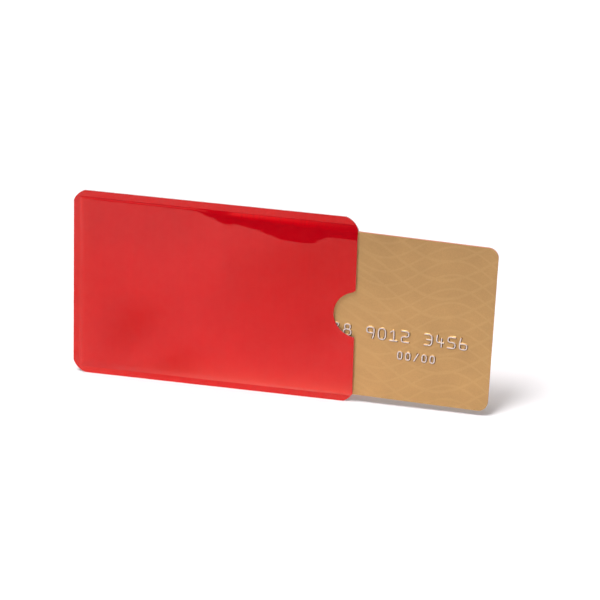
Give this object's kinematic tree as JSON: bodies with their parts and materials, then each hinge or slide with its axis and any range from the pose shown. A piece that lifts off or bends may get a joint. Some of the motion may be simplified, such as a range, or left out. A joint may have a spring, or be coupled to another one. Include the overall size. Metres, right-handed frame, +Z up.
{
  "type": "rfid card sleeve",
  "caption": "Flat red foil-laminate sleeve, sealed on three edges, with a thumb notch at its open end and a gold bank card that slides in and out of it.",
  "frame": {"origin": "middle of the bottom of the whole part's box, on the long edge that the sleeve stands on", "axes": "+X along the sleeve's length towards its open mouth, the way the card leaves; +Z up across its height; the front panel faces -Y"},
  "size_m": [0.1332, 0.002, 0.0612],
  "materials": {
    "red_film": "glossy red lacquered film over metal",
    "shield_foil": "bright rolled foil",
    "sealing_liner": "satin heat-seal film",
    "gold_print": "satin metallic gold print",
    "card_core": "calendered sheet",
    "card_inlay": "calendered sheet",
    "antenna_copper": "etched copper",
    "solder": "reflowed solder",
    "contact_gold": "gold-plated contacts",
    "silicon": "polished silicon",
    "capsule_resin": "cast resin",
    "stripe_oxide": "satin magnetic oxide"
  },
  "bodies": {
    "sleeve": {"front_film": "red_film", "front_foil": "shield_foil", "front_liner": "sealing_liner", "back_film": "red_film", "back_foil": "shield_foil", "back_liner": "sealing_liner"},
    "card": {"card_front_overlay": "gold_print", "card_front_sheet": "card_core", "card_inlay_sheet": "card_inlay", "antenna_coil": "antenna_copper", "antenna_bridge": "antenna_copper", "near_terminal_bump": "solder", "far_terminal_bump": "solder", "contact_plate": "contact_gold", "chip_die": "silicon", "chip_capsule": "capsule_resin", "card_back_sheet": "card_core", "card_back_overlay": "gold_print", "magnetic_stripe": "stripe_oxide"}
  },
  "joints": [
    {"name": "card_slide", "type": "slide", "parent": "sleeve", "child": "card", "axis": [0.9997, 0, -0.0227], "range_m": [-0.0438, 0.0445]}
  ]
}
